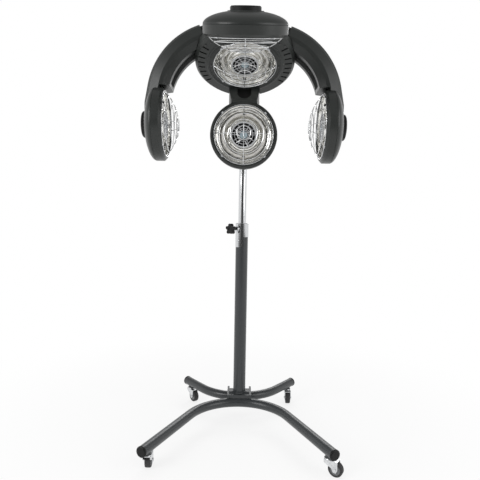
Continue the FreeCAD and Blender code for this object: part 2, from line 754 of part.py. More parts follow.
def head_bracket():
    """Socket on the pole's end with the two cheeks and the pin of the tilt joint."""
    bore = POLE_OD / 2 + RUN
    socket = ring([
        (bore, 1128), (18, 1128), (19, 1131), (19, 1217), (17, 1220), (0, 1220),
        (0, POLE_TOP + 0.2), (bore, POLE_TOP + 0.2),
    ])
    cheeks = []
    for side in (-1, 1):
        x = side * 24.5
        plate = join(
            polygon([
                V(x - 4, 8, 1150), V(x - 4, -10, 1150), V(x - 4, TILT_Y - 4, TILT_Z - 15),
                V(x - 4, TILT_Y, TILT_Z + 15), V(x - 4, 8, 1215),
            ]).extrude(V(8, 0, 0)),
            cylinder(15, V(x - 4, TILT_Y, TILT_Z), V(x + 4, TILT_Y, TILT_Z)),
            cylinder(10, V(x, TILT_Y, TILT_Z), V(x + side * 7, TILT_Y, TILT_Z)),
        )
        cheeks.append(plate)
    web = box(-26, 26, -12, 12, 1150, 1215)
    pin = cylinder(TILT_PIN_R, V(-25, TILT_Y, TILT_Z), V(25, TILT_Y, TILT_Z))
    body = join(socket, web, cheeks[0], cheeks[1])
    body = body.cut(cylinder(bore, V(0, 0, 1100), V(0, 0, POLE_TOP + 0.2)))
    return single(join(body, pin))


# --- stand -----------------------------------------------------------------

def leg_path(sign, sweep, reach):
    """Arc past the column and two straight feet; sign -1 opens to the front."""
    a = math.radians(sweep)
    centre_y = sign * (LEG_GAP + LEG_BEND_R)
    arc_end = V(LEG_BEND_R * math.sin(a), centre_y - sign * LEG_BEND_R * math.cos(a), LEG_Z)
    direction = V(math.cos(a), sign * math.sin(a), 0)
    return centre_y, arc_end, direction, arc_end + direction * reach


def leg_solid(sign, sweep, reach, radius, trim=0.0):
    centre_y, arc_end, direction, tip = leg_path(sign, sweep, reach)
    tip = tip - direction * trim
    disc = Part.Face(Part.Wire(Part.makeCircle(radius, V(0, sign * LEG_GAP, LEG_Z), V(1, 0, 0))))
    disc.rotate(V(0, centre_y, LEG_Z), V(0, 0, 1), sweep)
    curve = disc.revolve(V(0, centre_y, LEG_Z), V(0, 0, 1), -2 * sweep)
    right = cylinder(radius, arc_end, tip)
    left = cylinder(radius, V(-arc_end.x, arc_end.y, LEG_Z), V(-tip.x, tip.y, LEG_Z))
    return curve.fuse([right, left]).removeSplitter()


def caster_points(sign, sweep, reach):
    _, _, direction, tip = leg_path(sign, sweep, reach)
    inset = tip - direction * STEM_INSET
    return V(-inset.x, inset.y, 0), V(inset.x, inset.y, 0)


def leg_tube(sign, sweep, reach):
    outer = leg_solid(sign, sweep, reach, LEG_OD / 2, CAP_LENGTH / 3)
    inner = leg_solid(sign, sweep, reach, LEG_OD / 2 - LEG_WALL, -5)
    bushes = []
    bores = []
    for p in caster_points(sign, sweep, reach):
        bushes.append(cylinder(11, V(p.x, p.y, SWIVEL_Z + GAP), V(p.x, p.y, LEG_Z - 3)))
        bores.append(cylinder(STEM_R + RUN, V(p.x, p.y, 40), V(p.x, p.y, LEG_Z + 6)))
    hollow = outer.cut(inner)
    inside_bush = [b.common(outer) for b in bushes]
    body = join(hollow, *(bushes + inside_bush))
    return single(body.cut(bores))


def end_caps():
    """Four plugs that close the leg tubes."""
    caps = []
    for sign, sweep, reach in ((-1, FRONT_SWEEP, FRONT_REACH), (1, REAR_SWEEP, REAR_REACH)):
        _, _, direction, tip = leg_path(sign, sweep, reach)
        seat = tip - direction * (CAP_LENGTH / 3)
        head = cylinder(LEG_OD / 2 + 0.8, seat, seat + direction * 4)
        nose = Part.makeCone(LEG_OD / 2 + 0.8, LEG_OD / 2 - 3, 2.5, seat + direction * 4, direction)
        head = join(head, nose)
        plug = cylinder(LEG_OD / 2 - LEG_WALL - 0.05, seat - direction * CAP_LENGTH, seat)
        cap = join(head, plug)
        caps += [cap, mirrored(cap)]
    return Part.makeCompound([single(c) for c in caps])


def base_hub():
    """Cast saddle that clasps both leg tubes and carries the column's socket."""
    saddle = box(-44, 44, -33, 48, 58, 98)
    saddle = saddle.common(join(
        box(-44, 44, -33, 34, 58, 98),
        cylinder(22, V(-44, 30, 76), V(44, 30, 76)),
    ))
    rims = [box(x, x + 7, -36, 50, 60, 100) for x in (-44, 37)]
    crown = cylinder(22, V(-37, -6, 83), V(37, -6, 83)).common(box(-37, 37, -33, 48, 58, 110))
    socket = cylinder(TUBE_OD / 2 + 4.5, V(0, 0, 70), V(0, 0, 105))
    body = join(saddle, crown, socket, *rims)
    tubes = [
        leg_solid(-1, FRONT_SWEEP, FRONT_REACH, LEG_OD / 2),
        leg_solid(1, REAR_SWEEP, REAR_REACH, LEG_OD / 2),
    ]
    clear_front = box(-60, 60, -70, -LEG_GAP, 40, 84)
    clear_below = box(-60, 60, -60, 70, 40, 62)
    column = cylinder(TUBE_OD / 2, V(0, 0, TUBE_BOTTOM), V(0, 0, 130))
    return single(body.cut(tubes + [clear_front, clear_below, column]))


def caster_fork():
    """Stamped fork, drawn with its stem at the origin and the wheel on +X."""
    top = SWIVEL_Z
    disc = ring([(0, top), (13, top), (14, top - 1.5), (12, top - 4), (0, top - 4)])
    stem = cylinder(STEM_R, V(0, 0, top - 1), V(0, 0, LEG_Z - 4))
    plate = box(-11, 30, -12.3, 12.3, top - 5, top - 3)
    outline = [
        V(-11, 0, top - 3), V(30, 0, top - 3), V(TRAIL + 9, 0, WHEEL_R + 3), V(TRAIL + 4, 0, WHEEL_R - 7),
        V(TRAIL - 4, 0, WHEEL_R - 7), V(TRAIL - 10, 0, WHEEL_R + 4), V(-11, 0, top - 12),
    ]
    cheek = polygon(outline).extrude(V(0, 2, 0))
    left = cheek.copy()
    left.translate(V(0, 10.3, 0))
    right = cheek.copy()
    right.translate(V(0, -12.3, 0))
    axle = cylinder(AXLE_R, V(TRAIL, -12.5, WHEEL_R), V(TRAIL, 12.5, WHEEL_R))
    nuts = [
        cylinder(5, V(TRAIL, -14.3, WHEEL_R), V(TRAIL, -12, WHEEL_R)),
        cylinder(5, V(TRAIL, 12, WHEEL_R), V(TRAIL, 14.3, WHEEL_R)),
    ]
    return join(disc, stem, plate, left, right, axle, *nuts)


def caster_wheel():
    half = WHEEL_W / 2
    profile = [
        (AXLE_R + RUN, -half - 0.8), (6.5, -half - 0.8), (7, -half + 2.5), (14, -half + 2.5), (15, -half),
        (WHEEL_R - 3, -half), (WHEEL_R, -half + 3), (WHEEL_R, half - 3), (WHEEL_R - 3, half),
        (15, half), (14, half - 2.5), (7, half - 2.5), (6.5, half + 0.8), (AXLE_R + RUN, half + 0.8),
    ]
    wheel = ring(profile)
    wheel.rotate(V(0, 0, 0), V(1, 0, 0), 90)
    wheel.translate(V(TRAIL, 0, WHEEL_R))
    return wheel


# caster name: leg, side, and the direction its wheel trails
CASTERS = {
    "front_left": (-1, -1, 90.0),
    "front_right": (-1, 1, -32.0),
    "rear_left": (1, -1, -53.0),
    "rear_right": (1, 1, -90.0),
}


def save_casters():
    for name, (sign, side, heading) in CASTERS.items():
        sweep, reach = (FRONT_SWEEP, FRONT_REACH) if sign < 0 else (REAR_SWEEP, REAR_REACH)
        left, right = caster_points(sign, sweep, reach)
        stem = left if side < 0 else right
        trail = V(math.cos(math.radians(heading)), math.sin(math.radians(heading)), 0)
        across = V(0, 0, 1).cross(trail)
        for kind, piece in (("fork", caster_fork()), ("wheel", caster_wheel())):
            save("%s_caster_%s" % (name, kind), place(piece, stem, V(0, 0, 1), across))


def save_heads():
    facing, rear = top_axes()
    back, hub_rear = hub_axes()
    frames = {
        "left": (V(-SIDE_HEAD_X, SIDE_HEAD_Y, SIDE_HEAD_Z), V(1, 0, 0), V(0, 0, 1)),
        "right": (V(SIDE_HEAD_X, SIDE_HEAD_Y, SIDE_HEAD_Z), V(-1, 0, 0), V(0, 0, 1)),
        "top": (TOP_HEAD, facing, rear),
        "bottom": (BOTTOM_HEAD, V(0, -1, 0), V(0, 0, 1)),
        "centre": (DISH_CENTRE + back * RIM_H, back * -1, hub_rear * -1),
    }
    inner = {
        "reflector": reflector(),
        "lamp": lamp(),
        "fan_frame": fan_frame(),
        "fan_impeller": fan_impeller(),
        "guard": guard(),
    }
    shell = head_shell()
    cap = head_cap()
    for name, frame in frames.items():
        for kind, piece in inner.items():
            save("%s_%s" % (name, kind), place(piece, *frame))
        if name in ("left", "right", "top"):
            save(name + "_shell", place(shell, *frame))
        if name != "centre":
            save(name + "_cap", place(cap, *frame))


def save_all():
    os.makedirs("parts", exist_ok=True)
    save("front_leg_tube", leg_tube(-1, FRONT_SWEEP, FRONT_REACH))
    save("rear_leg_tube", leg_tube(1, REAR_SWEEP, REAR_REACH))
    save("leg_end_caps", end_caps())
    save("base_hub", base_hub())
    save_casters()
    save("lower_tube", tube(TUBE_OD, TUBE_WALL, TUBE_BOTTOM, TUBE_TOP))
    save("clamp_collar", clamp_collar())
    save("pressure_pad", pressure_pad())
    save("clamp_knob", clamp_knob())
    save("upper_pole", tube(POLE_OD, POLE_WALL, POLE_BOTTOM, POLE_TOP))
    save("head_bracket", head_bracket())
    save("front_housing", front_housing())
    save("rear_housing", rear_housing())
    save("timer_dial", timer_dial())
    save("power_rocker", power_rocker())
    save("mains_inlet", mains_inlet())
    save("hub_screws", hub_screws())
    left = left_arm()
    save("left_arm", left)
    save("right_arm", mirrored(left))
    save("top_arm", top_arm())
    save("bottom_shell", bottom_shell())
    save_heads()


save_all()
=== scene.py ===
import json
import math

import bmesh
import bpy
from mathutils import Matrix, Vector

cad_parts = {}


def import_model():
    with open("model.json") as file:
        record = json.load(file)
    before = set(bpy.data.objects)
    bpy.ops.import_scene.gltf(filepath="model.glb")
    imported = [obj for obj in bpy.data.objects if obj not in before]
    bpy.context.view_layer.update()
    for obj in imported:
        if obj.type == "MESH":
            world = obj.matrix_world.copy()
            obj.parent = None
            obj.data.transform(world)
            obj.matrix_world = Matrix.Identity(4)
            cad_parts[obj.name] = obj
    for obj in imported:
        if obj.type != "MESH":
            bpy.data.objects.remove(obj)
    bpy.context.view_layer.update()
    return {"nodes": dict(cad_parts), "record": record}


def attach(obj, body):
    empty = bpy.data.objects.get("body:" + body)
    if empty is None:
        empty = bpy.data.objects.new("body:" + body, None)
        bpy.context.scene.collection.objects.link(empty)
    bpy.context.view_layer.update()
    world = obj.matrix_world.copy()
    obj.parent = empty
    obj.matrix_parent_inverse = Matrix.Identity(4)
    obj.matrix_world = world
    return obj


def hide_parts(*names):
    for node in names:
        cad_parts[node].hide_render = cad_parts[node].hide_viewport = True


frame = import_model()

RECORD = frame["record"]
JOINTS = {joint["name"]: joint for joint in RECORD["behaviour"]["joints"]}
BODY_OF = {node: body for body, nodes in RECORD["behaviour"]["bodies"].items() for node in nodes}
SLOT_OF = {part["node"]: part["material_slot"] for part in RECORD["subparts"]}

UP = Vector((0, 0, 1))
FORWARD = Vector((0, -1, 0))
BACKWARD = Vector((0, 1, 0))
FULL_TURN = 2 * math.pi


# --- sizes, in metres unless said otherwise --------------------------------

# heads: which way each one's own +Y is turned
HEAD_UP = {"left": UP, "right": UP, "top": BACKWARD, "bottom": UP, "centre": FORWARD}

# heads: radii from the head's axis, heights along its facing direction from the seam
RIM_H = 0.028
GRILLE_Z = 0.025
GRILLE_SLACK = 0.0001
FAN_HUB_R = 0.013
FAN_HUB_SLACK = 0.0002

# wire guard, its tabs and their screws
GUARD_BASE_R = 0.0966
GUARD_RISE = 0.038
GUARD_RING_DEGREES = (9, 18, 27, 36)
BASE_WIRE_R = 0.00125
THIN_WIRE_R = 0.0011
TAB_COUNT = 4
TAB_IN_R = 0.0955
TAB_OUT_R = 0.1012
TAB_HALF_W = 0.0038
TAB_T = 0.0011
SCREW_AT_R = 0.0990
SCREW_HEAD_R = 0.0024
SCREW_HEAD_LOW = 0.0009
SCREW_HEAD_TOP = 0.0028

# reflector, in millimetres: (radius, height) points of its face from the rim inwards, and of its back
MM_PER_M = 1000
REFLECTOR_OUTER_STEPS = [
    (98.5, 25), (93.8, 25), (93.2, 24.4), (92.4, 17.1), (91.8, 16.5), (89.9, 16.2), (89.4, 16.7),
    (88.9, 16.0), (87.6, 15.6), (86.9, 15.0), (85.3, 9.1), (84.6, 8.5), (83.2, 8.2), (82.7, 8.8),
    (82.2, 8.0), (80.8, 7.7), (80.0, 7.1), (78.0, 0.8), (77.2, 0.2),
]
FLOOR_BEAD_RADII = (73.2, 65.2)
FLOOR_BEAD_FOOT = 1.0
FLOOR_BEAD_CREST = 0.4
FLOOR_BEAD_H = 0.7
REFLECTOR_INNER_STEPS = [
    (61, 0.1), (58.0, 1.8), (57.2, 2.5), (54.9, 7.9), (54.2, 8.5), (53.2, 8.8), (52.7, 9.4), (52.2, 9.1),
    (51.5, 9.3), (50.8, 10.0), (48.8, 16.0), (48.0, 16.7), (45.9, 17.5), (45.2, 18.3), (44.1, 24.5),
    (43.6, 25), (40.1, 25),
]
REFLECTOR_BACK = [
    (98.5, 23.8), (94.6, 23.8), (93.2, 15.2), (87.9, 14.3), (86.0, 7.3), (81.0, 6.4), (78.4, -1.2),
    (60.7, -1.2), (56.6, 0.9), (53.7, 7.3), (50.1, 8.2), (47.6, 15.6), (44.6, 16.5), (42.9, 23.8),
    (40.1, 23.8),
]

# ring lamp, its holders, and its terminal posts: low end and top above the lamp, radius, sides
LAMP_R = 0.069
LAMP_Z = 0.0085
LAMP_TUBE_R = 0.0045
HOLDER_HALF_W = 0.007
HOLDER_HALF_D = 0.006
HOLDER_FOOT = 0.0001
HOLDER_ABOVE = 0.002
HOLDER_EDGE = 0.0012
POST_SLEEVE = (0.0016, 0.0095, 0.0030, 16)
POST_NUT = (0.0090, 0.0115, 0.0046, 6)
POST_STUD = (0.0110, 0.0130, 0.0022, 12)

# recess in the front of the lower arm, whose faces are painted black as painted shade: its floor's (height,
# y) at the foot, the bend and the head
RECESS_FLOOR = ((1.133, -0.140), (1.172, -0.122), (1.195, -0.119))
RECESS_HALF_W = 0.0232
RECESS_LOW = 1.1332
RECESS_TOP = 1.196
RECESS_WALL = 0.008
RECESS_SLACK = 0.001

# caster wheels: (radius, depth below the wheel's side) points from one side's inner edge to the middle
WHEEL_R = 0.022
WHEEL_W = 0.018
TYRE_OUTLINE = [(0.0152, 0), (0.0188, 0), (0.0208, 0.0006), (0.0218, 0.0022), (WHEEL_R, 0.0040)]
WEB_OUTLINE = [
    (0.0032, -0.0008), (0.0064, -0.0008), (0.0069, 0.0024), (0.0138, 0.0024), (0.0144, 0.0002),
    (0.0151, 0.0002),
]

# widths of the softened edges, in the order in which the pieces are made
SHELL_EDGE = 0.0008
CAP_EDGE = 0.0006
FAN_EDGE = 0.0003
FORK_EDGE = 0.0005
EDGE_OF = {
    "front_leg_tube": 0.0, "rear_leg_tube": 0.0, "leg_end_caps": 0.0008, "base_hub": 0.0014,
    "lower_tube": 0.0004, "clamp_collar": 0.0005, "pressure_pad": 0.0, "clamp_knob": 0.0014,
    "upper_pole": 0.0003, "head_bracket": 0.0014, "front_housing": 0.0008, "rear_housing": 0.0010,
    "timer_dial": 0.0004, "power_rocker": 0.0005, "mains_inlet": 0.0004, "hub_screws": 0.0004,
    "left_arm": 0.0020, "right_arm": 0.0020, "top_arm": 0.0018,
}
EDGE_SEGMENTS = 2
EDGE_DEGREES = 32.0

# shading: an edge that turns by less than this is smooth, and mouldings with soft folds crease sooner
CREASED_NODES = ("front_housing", "rear_housing", "left_arm", "right_arm", "top_arm")
CREASE_DEGREES = 14.0
ROUND_DEGREES = 32.0
FLAT_DEGREES = 0.4
WELD = 1e-6
CAD_WELD = 2e-6

# studio: how bright the surroundings are, where they darken for reflections, and the floor's fade
WHITE = (1, 1, 1, 1)
SKY_LEVEL = 0.60
ROOM_LEVEL = 0.05
CEILING_LEVEL = 0.35
WORLD_ROOM = (-0.98, -0.60)
WORLD_CEILING = (0.30, 0.65)
FLOOR_ROOM = (-6.0, -2.0)
FLOOR_SIZE = 14.0
FLOOR_COLOUR = (0.92, 0.92, 0.92, 1)
FLOOR_GLOW = 0.78
FLOOR_FADE = (0.35, 1.3)
HEADS_MIDDLE = (0, -0.1, 0.9)
POLE_TOP = (0, 0, 1.0)

# camera: angles in degrees, focal length in pixels of a square frame
CAMERA_Y = -1.643
CAMERA_Z = 0.7495
CAMERA_DOWN = 3.0
CAMERA_ROLL = 1.0
CAMERA_SHIFT = -0.0038
CAMERA_FOCAL = 450.0
CAMERA_REACH = 60.0
FRAME_WIDTH = 480
SENSOR_MM = 36.0


# --- shader building -------------------------------------------------------

COLOUR_A, COLOUR_B, COLOUR_RESULT = 6, 7, 2


class Flow:
    """A shader value; arithmetic on it adds the Math nodes."""

    def __init__(self, graph, socket):
        self.graph = graph
        self.socket = socket

    def maths(self, operation, first, second):
        return self.graph.value("ShaderNodeMath", 0, {"operation": operation}, {0: first, 1: second})

    def __add__(self, other):
        return self.maths("ADD", self, other)

    def __radd__(self, other):
        return self.maths("ADD", other, self)

    def __mul__(self, other):
        return self.maths("MULTIPLY", self, other)

    def __rmul__(self, other):
        return self.maths("MULTIPLY", other, self)

    def or_more(self, other):
        return self.maths("MAXIMUM", self, other)

    def across(self, span, ends, easing="LINEAR"):
        """Goes from the first of the ends to the last while this value crosses the span."""
        inputs = {
            "Value": self, "From Min": span[0], "From Max": span[1], "To Min": ends[0], "To Max": ends[1],
        }
        return self.graph.value("ShaderNodeMapRange", 0, {"interpolation_type": easing}, inputs)


class Graph:
    """The emptied node tree of a material or of the world."""

    def __init__(self, owner):
        owner.use_nodes = True
        self.tree = owner.node_tree
        self.tree.nodes.clear()

    def add(self, kind, settings=None, inputs=None):
        """A node: its settings are set first, then the values or links of its sockets."""
        node = self.tree.nodes.new(kind)
        for key, value in (settings or {}).items():
            setattr(node, key, value)
        for key, value in (inputs or {}).items():
            self.feed(node.inputs[key], value)
        return node

    def feed(self, socket, value):
        if isinstance(value, Flow):
            self.tree.links.new(value.socket, socket)
        else:
            socket.default_value = value

    def value(self, kind, output, settings=None, inputs=None):
        """One output of a new node, ready for arithmetic."""
        return Flow(self, self.add(kind, settings, inputs).outputs[output])

    def place(self, system="Object"):
        return self.value("ShaderNodeTexCoord", system)

    def axis(self, place, letter):
        return self.value("ShaderNodeSeparateXYZ", letter, inputs={0: place})

    def ray_is(self, kind):
        """1 for rays of this kind, 0 for all others."""
        return self.value("ShaderNodeLightPath", f"Is {kind} Ray")


class Finish(Graph):
    """One material under construction, round a single Principled shader."""

    def __init__(self, name, **fixed):
        self.material = bpy.data.materials.new(name)
        super().__init__(self.material)
        self.shader = self.add("ShaderNodeBsdfPrincipled")
        self.add("ShaderNodeOutputMaterial", inputs={"Surface": Flow(self, self.shader.outputs[0])})
        for label, value in fixed.items():
            self.set(label.replace("_", " ").title().replace("Ior", "IOR"), value)

    def set(self, label, value):
        self.feed(self.shader.inputs[label], value)

    def stretched(self, scale):
        return self.value("ShaderNodeMapping", 0, inputs={"Vector": self.place(), "Scale": scale})

    def noise(self, scale, detail=2.0, vector=None):
        inputs = {"Vector": vector or self.place(), "Scale": scale, "Detail": detail}
        return self.value("ShaderNodeTexNoise", 0, inputs=inputs)

    def cells(self, scale, feature="F1"):
        inputs = {"Vector": self.place(), "Scale": scale}
        return self.value("ShaderNodeTexVoronoi", 0, {"feature": feature}, inputs)

    def blend(self, amount, dark, light):
        inputs = {"Factor": amount, COLOUR_A: (*dark, 1.0), COLOUR_B: (*light, 1.0)}
        return self.value("ShaderNodeMix", COLOUR_RESULT, {"data_type": "RGBA"}, inputs)

    def bump(self, height, depth, strength):
        inputs = {"Height": height, "Distance": depth, "Strength": strength}
        self.set("Normal", self.value("ShaderNodeBump", 0, inputs=inputs))


# --- finishes --------------------------------------------------------------

def moulded(name, dark, light, roughness, grain, shine=0.35):
    """Moulded plastic: slow drift of shade, fine grain and a slightly uneven gloss."""
    finish = Finish(name, specular_ior_level=shine)
    drift = finish.noise(scale=9.0, detail=3.0)
    fine = finish.noise(scale=1400.0, detail=3.0)
    finish.set("Base Color", finish.blend(0.75 * drift + 0.25 * fine, dark, light))
    finish.set("Roughness", roughness - 0.05 + 0.10 * finish.noise(scale=60.0, detail=4.0))
    finish.bump(fine, depth=grain, strength=0.5)
    return finish.material


def rotor_gloss():
    """Glossy pale blue moulding of the fan rotor's hub."""
    finish = Finish("rotor_gloss", coat_weight=0.8, coat_roughness=0.05)
    cloud = finish.noise(scale=55.0, detail=3.0)
    finish.set("Base Color", finish.blend(cloud, dark=(0.20, 0.26, 0.30), light=(0.52, 0.62, 0.66)))
    finish.set("Roughness", 0.14 + 0.12 * finish.noise(scale=300.0))
    return finish.material


def pressed_aluminium():
    """Bright reflector sheet: dimpled, with warm patches and an uneven polish."""
    finish = Finish("reflector_sheet", metallic=1.0)
    patches = finish.noise(scale=28.0, detail=3.0)
    fine = finish.noise(scale=420.0, detail=3.0)
    finish.set("Base Color", finish.blend(patches, dark=(0.82, 0.81, 0.77), light=(0.97, 0.97, 0.95)))
    finish.set("Roughness", 0.06 + 0.10 * finish.noise(scale=90.0, detail=3.0))
    dimples = finish.cells(scale=46.0, feature="SMOOTH_F1")
    finish.bump(dimples + 0.05 * fine, depth=0.0026, strength=1.0)
    return finish.material


def wire_chrome():
    """Chromed guard wire with a slightly uneven plating."""
    finish = Finish("guard_wire", metallic=1.0)
    plating = finish.noise(scale=120.0)
    finish.set("Base Color", finish.blend(plating, dark=(0.62, 0.63, 0.64), light=(0.84, 0.85, 0.86)))
    finish.set("Roughness", 0.12 + 0.14 * finish.noise(scale=240.0, detail=3.0))
    finish.bump(finish.noise(scale=900.0), depth=0.00004, strength=0.4)
    return finish.material


def grille_chrome():
    """Plated grille bars, guard tabs and screws, dulled by dust to a pale satin."""
    finish = Finish("grille_chrome", metallic=0.35)
    dust = finish.noise(scale=380.0, detail=3.0)
    finish.set("Base Color", finish.blend(dust, dark=(0.46, 0.47, 0.48), light=(0.74, 0.75, 0.77)))
    finish.set("Roughness", 0.28 + 0.22 * dust)
    return finish.material


def polished_chrome():
    """Chromed tube with hair-fine lengthwise polishing marks."""
    finish = Finish("polished_chrome", metallic=1.0)
    marks = finish.noise(scale=1.0, detail=3.0, vector=finish.stretched((900.0, 900.0, 12.0)))
    finish.set("Base Color", finish.blend(marks, dark=(0.54, 0.55, 0.56), light=(0.72, 0.73, 0.74)))
    finish.set("Roughness", 0.07 + 0.10 * marks)
    finish.bump(marks, depth=0.00001, strength=0.2)
    return finish.material


def powder_coat(name, dark, light, roughness):
    """Powder coating: orange-peel surface and a soft sheen."""
    finish = Finish(name, specular_ior_level=0.45, coat_weight=0.25, coat_roughness=0.16)
    peel = finish.noise(scale=520.0)
    drift = finish.noise(scale=14.0, detail=3.0)
    finish.set("Base Color", finish.blend(0.6 * drift + 0.4 * peel, dark, light))
    finish.set("Roughness", roughness + 0.10 * finish.noise(scale=120.0))
    finish.bump(peel, depth=0.00014, strength=0.5)
    return finish.material


def zinc_plate():
    """Zinc-plated sheet of the caster forks, with a faint spangle."""
    finish = Finish("zinc_plate", metallic=1.0)
    spangle = finish.cells(scale=160.0)
    finish.set("Base Color", finish.blend(spangle, dark=(0.56, 0.57, 0.58), light=(0.80, 0.81, 0.82)))
    finish.set("Roughness", 0.24 + 0.20 * finish.noise(scale=150.0, detail=3.0))
    finish.bump(finish.noise(scale=700.0), depth=0.00006, strength=0.5)
    return finish.material


def blackened_steel():
    """Blackened screw heads, rubbed paler in places."""
    finish = Finish("blackened_steel", metallic=0.7)
    rub = finish.noise(scale=300.0)
    finish.set("Base Color", finish.blend(rub, dark=(0.03, 0.03, 0.03), light=(0.12, 0.12, 0.12)))
    finish.set("Roughness", 0.32 + 0.15 * finish.noise(scale=500.0))
    return finish.material


def tyre_rubber():
    """Dark tyre rubber with a little floor dust."""
    finish = Finish("tyre_rubber")
    dust = finish.noise(scale=260.0, detail=4.0)
    finish.set("Base Color", finish.blend(dust, dark=(0.012, 0.012, 0.013), light=(0.045, 0.045, 0.046)))
    finish.set("Roughness", 0.58 + 0.20 * dust)
    finish.bump(finish.noise(scale=1200.0), depth=0.00008, strength=0.6)
    return finish.material


def frosted_quartz():
    """Frosted quartz tube of the ring lamps, under a smooth coat."""
    finish = Finish("frosted_quartz", coat_weight=1.0, coat_roughness=0.05)
    haze = finish.noise(scale=160.0, detail=3.0)
    finish.set("Base Color", finish.blend(haze, dark=(0.52, 0.50, 0.46), light=(0.88, 0.87, 0.84)))
    finish.set("Roughness", 0.22 + 0.15 * haze)
    return finish.material


CHARCOAL_MOULDING = moulded(
    "charcoal_moulding", dark=(0.019, 0.021, 0.020), light=(0.031, 0.034, 0.032),
    roughness=0.33, grain=0.00005, shine=0.36,
)
BLACK_MOULDING = moulded(
    "black_moulding", dark=(0.004, 0.004, 0.004), light=(0.010, 0.010, 0.010),
    roughness=0.44, grain=0.00006, shine=0.25,
)
FAN_MOULDING = moulded(
    "fan_moulding", dark=(0.004, 0.004, 0.005), light=(0.010, 0.010, 0.012),
    roughness=0.42, grain=0.00004, shine=0.25,
)
NYLON = moulded(
    "nylon", dark=(0.50, 0.48, 0.43), light=(0.66, 0.64, 0.60), roughness=0.5, grain=0.00004,
)
WHEEL_GREY = moulded(
    "wheel_centre", dark=(0.16, 0.165, 0.17), light=(0.26, 0.265, 0.27), roughness=0.48, grain=0.00006,
)
CERAMIC = moulded(
    "lamp_ceramic", dark=(0.50, 0.48, 0.43), light=(0.68, 0.66, 0.61), roughness=0.6, grain=0.00008,
)
COLUMN_COAT = powder_coat(
    "column_coat", dark=(0.021, 0.024, 0.026), light=(0.033, 0.037, 0.040), roughness=0.32,
)
BRACKET_COAT = powder_coat(
    "bracket_coat", dark=(0.021, 0.023, 0.024), light=(0.036, 0.038, 0.040), roughness=0.38,
)
HUB_GLOSS = rotor_gloss()
GRILLE_CHROME = grille_chrome()

# the record's material slots
MATERIALS = {
    "head_plastic": CHARCOAL_MOULDING,
    "black_plastic": BLACK_MOULDING,
    "reflector": pressed_aluminium(),
    "lamp": frosted_quartz(),
    "fan_frame": FAN_MOULDING,
    "fan_impeller": BLACK_MOULDING,
    "guard_wire": wire_chrome(),
    "tube_paint": COLUMN_COAT,
    "bracket_paint": BRACKET_COAT,
    "chrome": polished_chrome(),
    "screw_steel": blackened_steel(),
    "pad_nylon": NYLON,
    "fork_zinc": zinc_plate(),
    "wheel_rubber": tyre_rubber(),
}


# --- making pieces ---------------------------------------------------------

def shade(bm, smooth_degrees):
    """Smooth faces, with a crease wherever the surface turns by more than the angle."""
    limit = math.radians(smooth_degrees)
    for face in bm.faces:
        face.smooth = True
    for edge in bm.edges:
        edge.smooth = len(edge.link_faces) == 2 and edge.calc_face_angle(0.0) < limit


def placed(name, bm, materials, node):
    """Turn the bmesh into a piece that rides on a CAD node's body and stands for the node."""
    mesh = bpy.data.meshes.new(name)
    bm.to_mesh(mesh)
    bm.free()
    for material in materials:
        mesh.materials.append(material)
    piece = bpy.data.objects.new(name, mesh)
    bpy.context.scene.collection.objects.link(piece)
    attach(piece, BODY_OF[node])
    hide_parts(node)
    return piece


def finished(name, bm, material, node, smooth_degrees):
    """Close a new shape and place it for the CAD node."""
    bmesh.ops.remove_doubles(bm, verts=bm.verts, dist=WELD)
    bmesh.ops.recalc_face_normals(bm, faces=bm.faces)
    shade(bm, smooth_degrees)
    return placed(name, bm, [material], node)


def refined(node, edge=0.0, other=None, is_other=None, smooth_degrees=ROUND_DEGREES):
    """The CAD node's own shape with shared corners, smooth rounds and softened edges.

    Faces whose centre passes is_other get the other material."""
    bm = bmesh.new()
    bm.from_mesh(frame["nodes"][node].data)
    bmesh.ops.remove_doubles(bm, verts=bm.verts, dist=CAD_WELD)
    bmesh.ops.dissolve_limit(
        bm, angle_limit=math.radians(FLAT_DEGREES), verts=bm.verts, edges=bm.edges,
        use_dissolve_boundaries=False,
    )
    shade(bm, smooth_degrees)
    materials = [MATERIALS[SLOT_OF[node]]]
    if other:
        materials.append(other)
        for face in bm.faces:
            face.material_index = int(is_other(face.calc_center_median()))
    piece = placed(node + "_finished", bm, materials, node)
    if edge:
        soften(piece, edge)


def soften(piece, width):
    bevel = piece.modifiers.new("edge", "BEVEL")
    bevel.width = width
    bevel.segments = EDGE_SEGMENTS
    bevel.limit_method = "ANGLE"
    bevel.angle_limit = math.radians(EDGE_DEGREES)


def turned_to(origin, facing, up):
    """Matrix that carries +Z onto facing and +Y onto up."""
    facing = Vector(facing).normalized()
    side = Vector(up).cross(facing).normalized()
    up = facing.cross(side)
    turn = Matrix((side, up, facing)).transposed().to_4x4()
    return Matrix.Translation(origin) @ turn


def lathe(bm, profile, steps):
    """Spin a closed (radius, height) profile once round Z."""
    verts = [bm.verts.new((radius, 0, height)) for radius, height in profile]
    edges = [bm.edges.new(pair) for pair in zip(verts, verts[1:] + verts[:1])]
    bmesh.ops.spin(
        bm, geom=verts + edges, cent=(0, 0, 0), axis=UP, angle=FULL_TURN, steps=steps, use_merge=True,
    )


def spun_wire(bm, start, wire_r, sides, centre, axis, angle, steps):
    """Round wire: its section, a circle at start, is spun about an axis through centre."""
    verts = bmesh.ops.create_circle(bm, segments=sides, radius=wire_r, matrix=start)["verts"]
    edges = list({edge for vert in verts for edge in vert.link_edges})
    bmesh.ops.spin(
        bm, geom=verts + edges, cent=centre, axis=axis, angle=angle, steps=steps,
        use_merge=angle == FULL_TURN,
    )
    bmesh.ops.holes_fill(bm, edges=[edge for edge in bm.edges if edge.is_boundary], sides=sides)


def wire_ring(bm, radius, height, wire_r, steps, sides=8):
    start = Matrix.Translation((radius, 0, height)) @ Matrix.Rotation(math.pi / 2, 4, "X")
    spun_wire(bm, start, wire_r, sides, (0, 0, 0), UP, FULL_TURN, steps)


